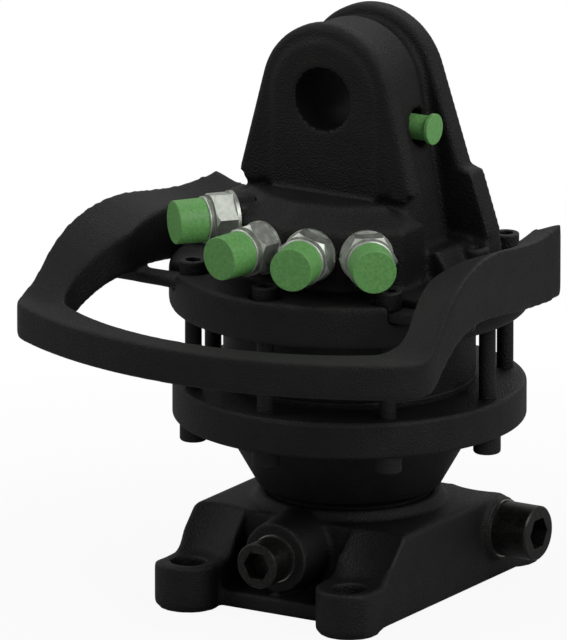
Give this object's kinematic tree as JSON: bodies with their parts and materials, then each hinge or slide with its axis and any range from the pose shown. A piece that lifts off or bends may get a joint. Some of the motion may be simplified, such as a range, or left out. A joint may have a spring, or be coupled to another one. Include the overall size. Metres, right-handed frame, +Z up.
{
  "type": "hydraulic grapple rotator",
  "caption": "Heavy hydraulic vane rotator that hangs from a pin through its lug and turns a grapple bolted under its base, with capped hose ports behind a bowed guard.",
  "frame": {"origin": "on the axis of rotation, in the plane that the feet stand on", "axes": "+Z up along the axis of rotation, -Y to the front where the hose ports point, +X to the right"},
  "size_m": [0.3062, 0.339, 0.382],
  "materials": {
    "painted_casting": "black paint over fine sand-cast texture",
    "screw_black": "black painted with the casting",
    "washer_steel": "worn steel",
    "zinc_plate": "bright zinc",
    "seal_washer": "dull zinc",
    "green_plastic": "matt",
    "black_rubber": "matt",
    "bearing_bronze": "turned",
    "ground_steel": "ground"
  },
  "bodies": {
    "base": {"base_block": "painted_casting", "front_lock_screw": "screw_black", "front_lock_washer": "washer_steel", "side_lock_screw": "screw_black", "side_lock_washer": "washer_steel", "rotor_shaft": "painted_casting", "vane_1": "ground_steel", "vane_2": "ground_steel", "vane_3": "ground_steel", "vane_4": "ground_steel", "vane_5": "ground_steel", "vane_6": "ground_steel"},
    "housing": {"lower_ring": "painted_casting", "stator_ring": "painted_casting", "stator_dowels": "ground_steel", "lower_stator_seal": "black_rubber", "upper_stator_seal": "black_rubber", "lower_bush": "bearing_bronze", "shaft_seal": "black_rubber", "thrust_washer": "bearing_bronze", "upper_bush": "bearing_bronze", "swivel_seal_1": "black_rubber", "swivel_seal_2": "black_rubber", "swivel_seal_3": "black_rubber", "top_housing": "painted_casting", "hose_guard": "painted_casting", "clamp_screws": "screw_black", "clamp_nuts": "screw_black", "port_seal_1": "seal_washer", "port_adapter_1": "zinc_plate", "port_cap_1": "green_plastic", "port_seal_2": "seal_washer", "port_adapter_2": "zinc_plate", "port_cap_2": "green_plastic", "port_seal_3": "seal_washer", "port_adapter_3": "zinc_plate", "port_cap_3": "green_plastic", "port_seal_4": "seal_washer", "port_adapter_4": "zinc_plate", "port_cap_4": "green_plastic", "side_plug": "green_plastic"}
  },
  "joints": [
    {"name": "rotation", "type": "hinge", "parent": "base", "child": "housing", "pos_m": [0, 0, 0.16], "axis": [0, 0, 1], "continuous": true}
  ]
}
